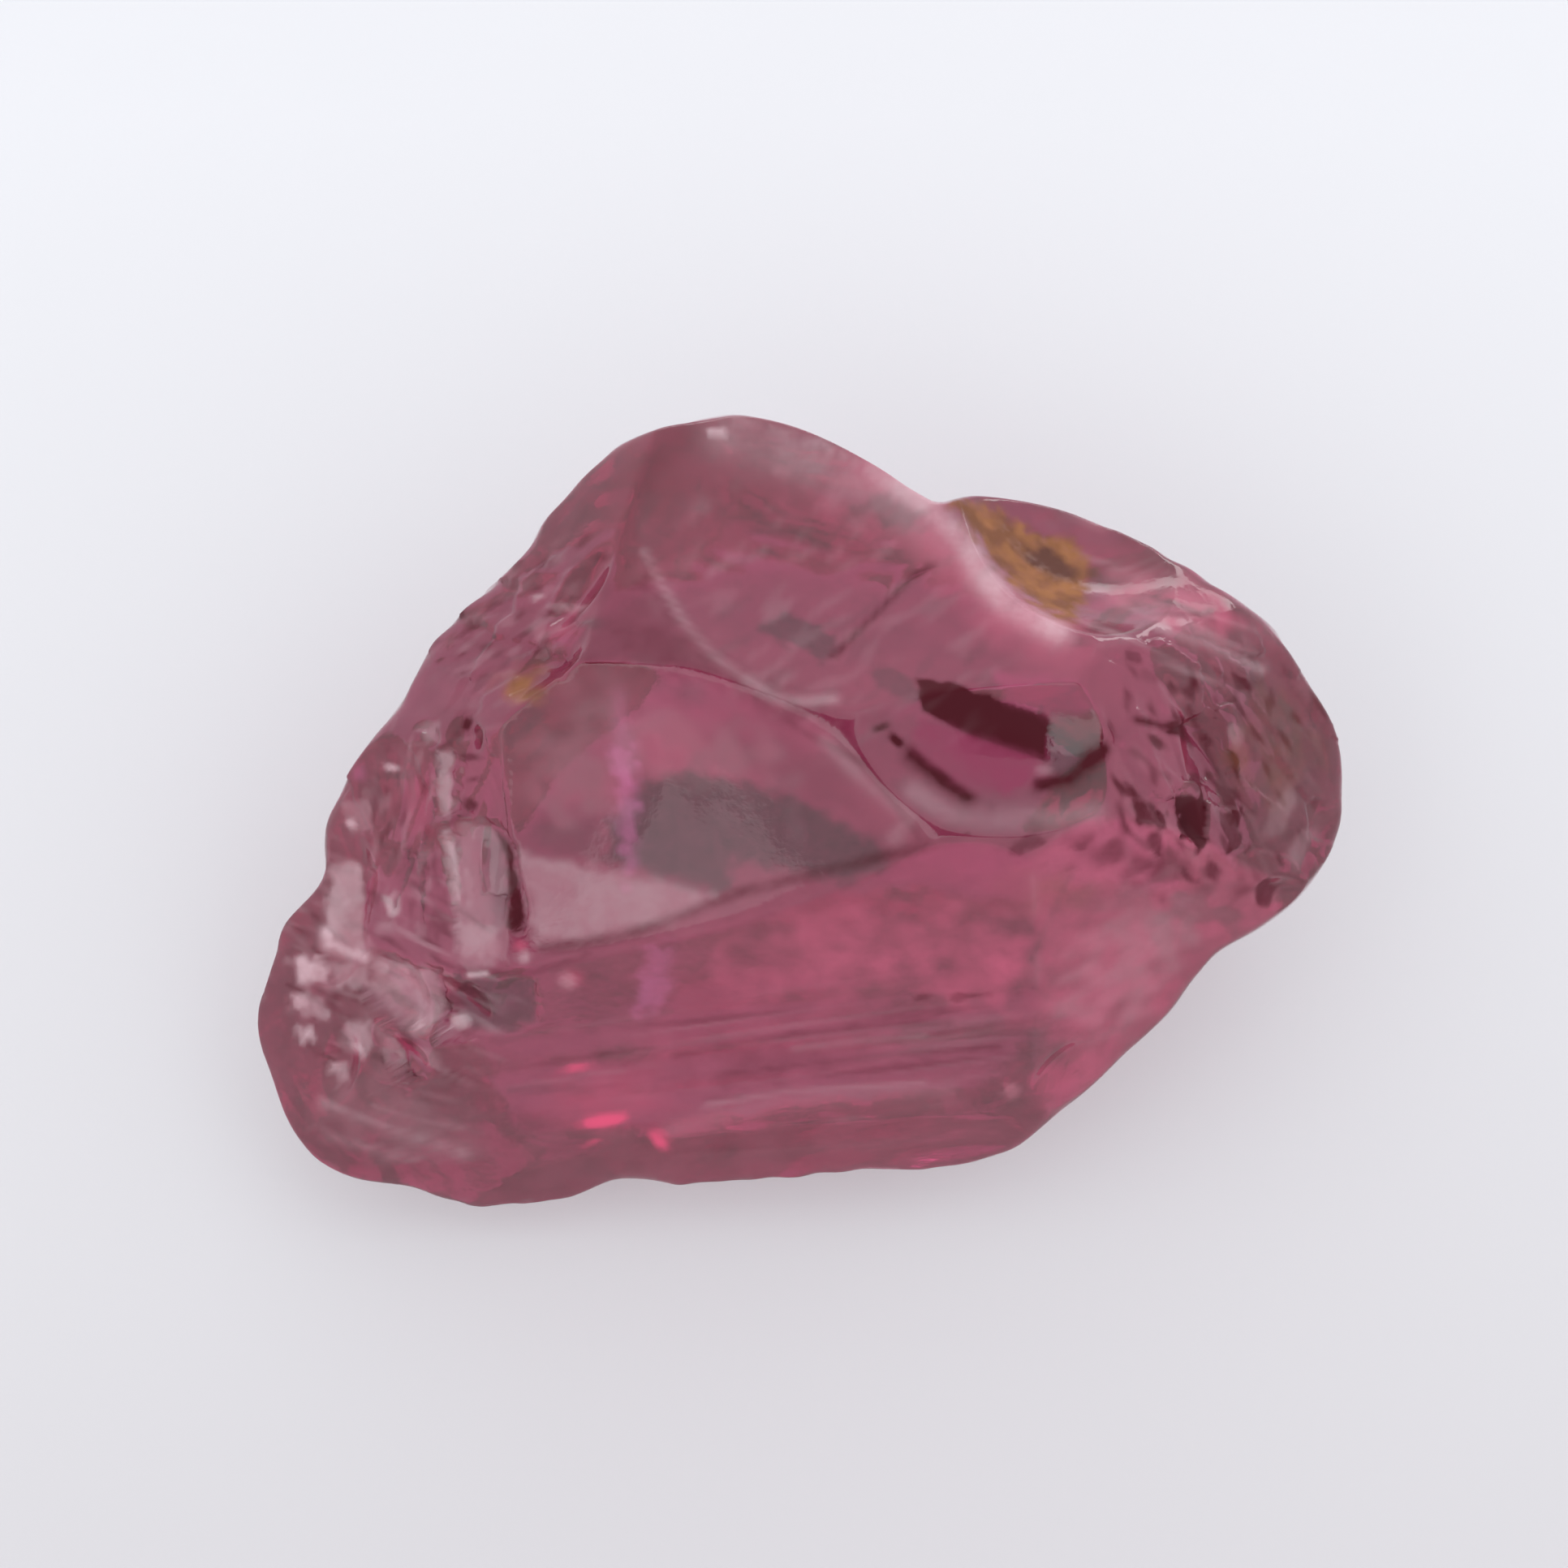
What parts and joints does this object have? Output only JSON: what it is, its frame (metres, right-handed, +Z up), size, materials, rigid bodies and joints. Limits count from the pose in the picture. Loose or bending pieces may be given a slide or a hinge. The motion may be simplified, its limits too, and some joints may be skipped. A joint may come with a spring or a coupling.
{
  "type": "rough gemstone",
  "caption": "Irregular rough garnet crystal with smooth conchoidal fracture faces, a wavy rim and a crumbly tip, resting on a flat broken face.",
  "frame": {"origin": "middle of the stone's box in plan, on the plane of the resting face", "axes": "+X along the stone's length, away from its crumbly tip; +Y away from the long front face; +Z up from the resting face"},
  "size_m": [0.0134, 0.0092, 0.0063],
  "materials": {
    "garnet": "transparent purplish red crystal with glassy broken faces and ochre iron stains"
  },
  "bodies": {
    "root": {"garnet": "garnet"}
  },
  "joints": []
}
